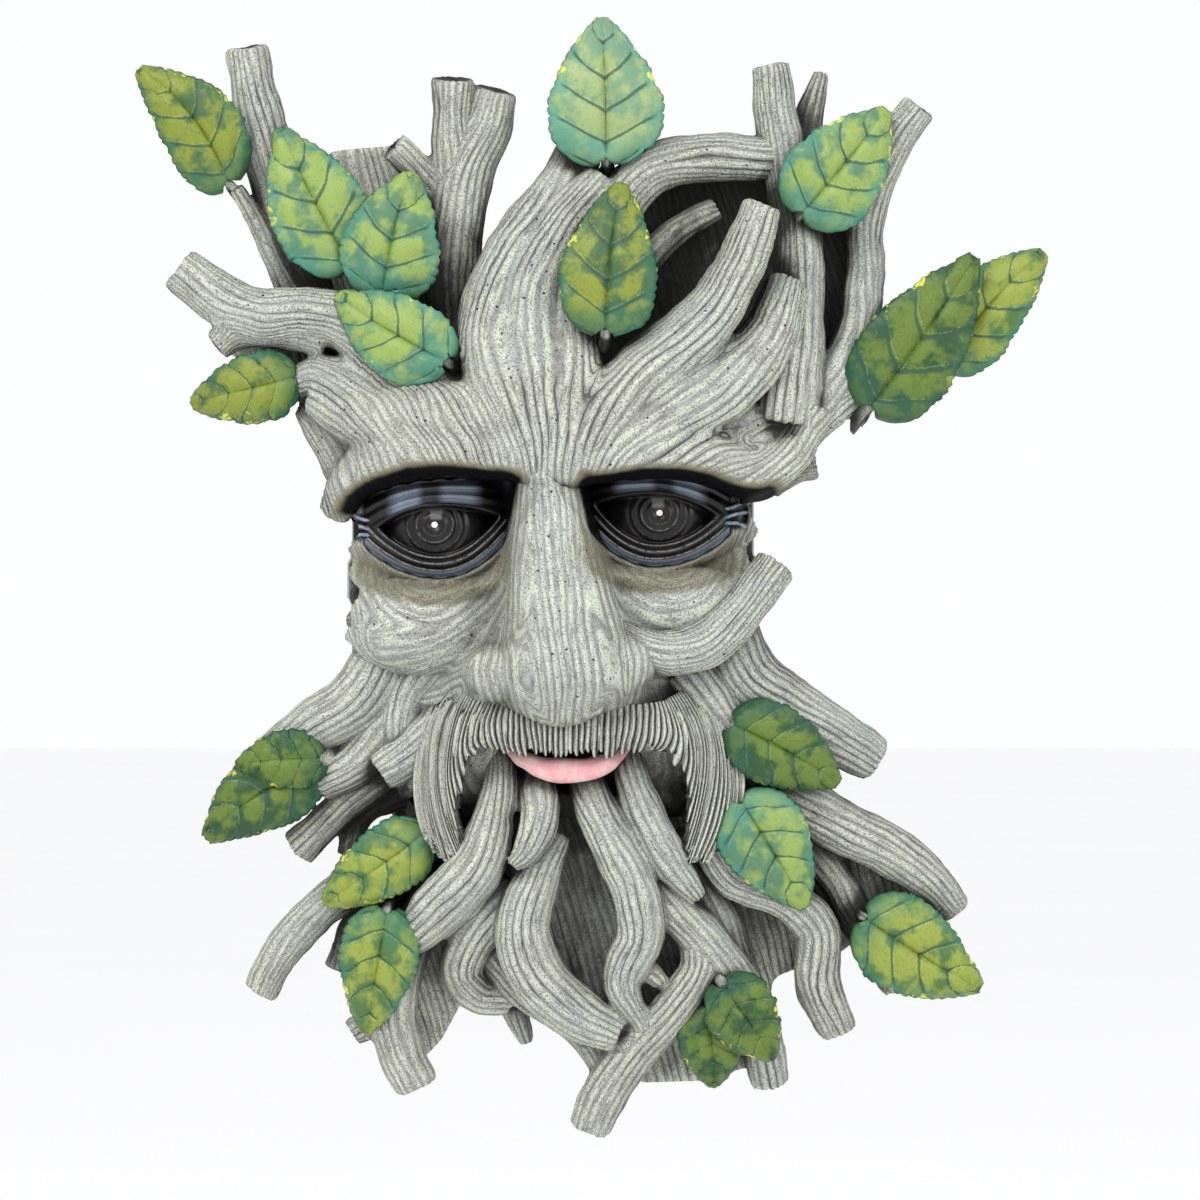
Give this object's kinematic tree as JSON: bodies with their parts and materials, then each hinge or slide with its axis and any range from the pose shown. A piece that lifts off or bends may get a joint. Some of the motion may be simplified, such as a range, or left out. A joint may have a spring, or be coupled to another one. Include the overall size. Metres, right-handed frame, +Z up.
{
  "type": "tree face sculpture",
  "caption": "Wall plaque cast as the face of a bearded tree spirit, with branches above the brow, root-like beard and painted leaves, and a keyhole slot in its flat back.",
  "frame": {"origin": "on the flat back of the plaque, in the plane that rests on the wall, near the middle of the casting", "axes": "+Z up along the face, +Y into the wall, -Y out of the face towards the viewer, +X to the viewer's right"},
  "size_m": [0.2449, 0.0729, 0.2992],
  "materials": {
    "bark_resin": "painted matt, dark wash in the grooves and pale dry brush on the ridges",
    "leaf_paint": "green paint with a slight sheen",
    "eye_gloss": "black gloss paint",
    "lip_paint": "pale pink matt paint"
  },
  "bodies": {
    "root": {"tree_face": "bark_resin"}
  },
  "joints": []
}
